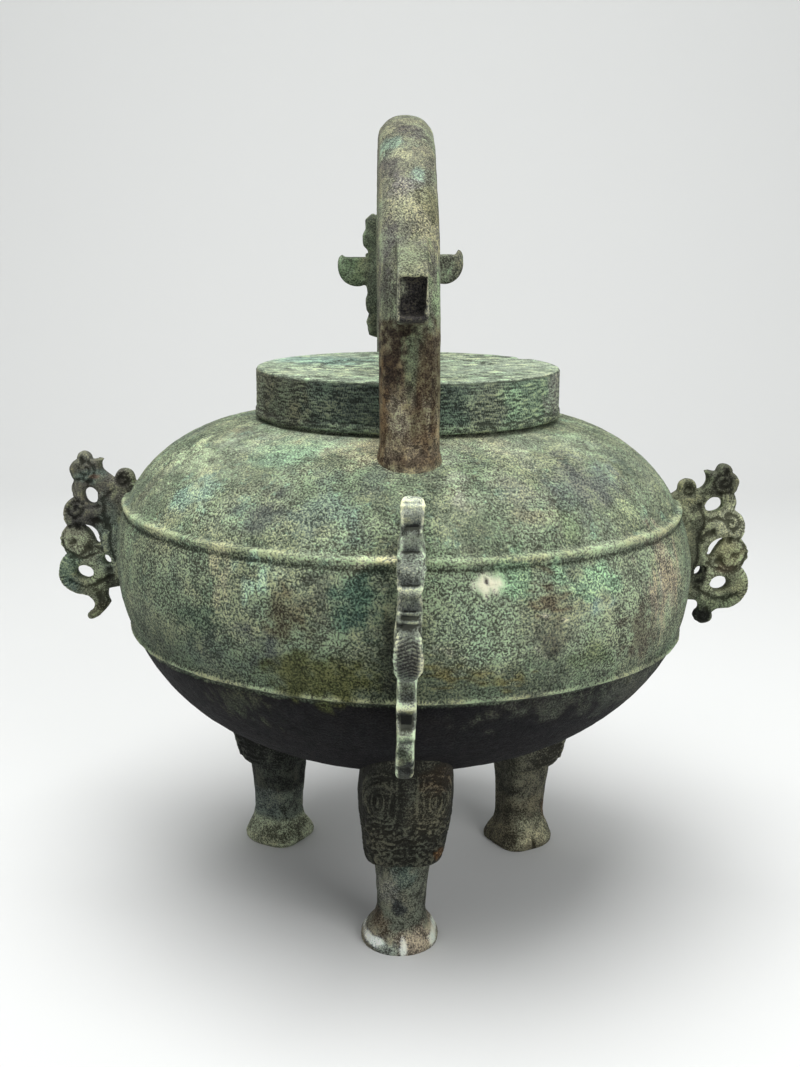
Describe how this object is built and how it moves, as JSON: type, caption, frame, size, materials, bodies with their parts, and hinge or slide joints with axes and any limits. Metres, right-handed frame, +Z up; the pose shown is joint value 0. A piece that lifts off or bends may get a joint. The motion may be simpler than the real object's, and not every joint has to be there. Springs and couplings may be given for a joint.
{
  "type": "bronze he wine vessel",
  "caption": "Hollow bronze wine vessel with a flattened globular pot, hoofed legs, lift-off cap lid, overhead dragon handle, short spout and openwork dragon flanges.",
  "frame": {"origin": "on the ground under the middle of the belly, between the three feet", "axes": "+Z up, +Y towards the spout (front), -Y the back, +X towards the right flange as seen from the back"},
  "size_m": [0.3042, 0.304, 0.3346],
  "materials": {
    "pot_bronze": "cast bronze, matt green patina over dark brown",
    "lid_bronze": "cast bronze, pale verdigris on top, dark green skirt",
    "handle_bronze": "cast bronze, grey-green patina, rust brown at the root",
    "flange_bronze": "cast bronze, grey-green patina worn on the high points",
    "leg_bronze": "cast bronze, grey-green patina with pale lime crust on the hooves"
  },
  "bodies": {
    "root": {"body": "pot_bronze", "lid": "lid_bronze", "handle": "handle_bronze", "spout": "pot_bronze", "flange_right": "flange_bronze", "flange_left": "flange_bronze", "flange_back": "flange_bronze", "leg_back": "leg_bronze", "leg_right": "leg_bronze", "leg_left": "leg_bronze"}
  },
  "joints": []
}
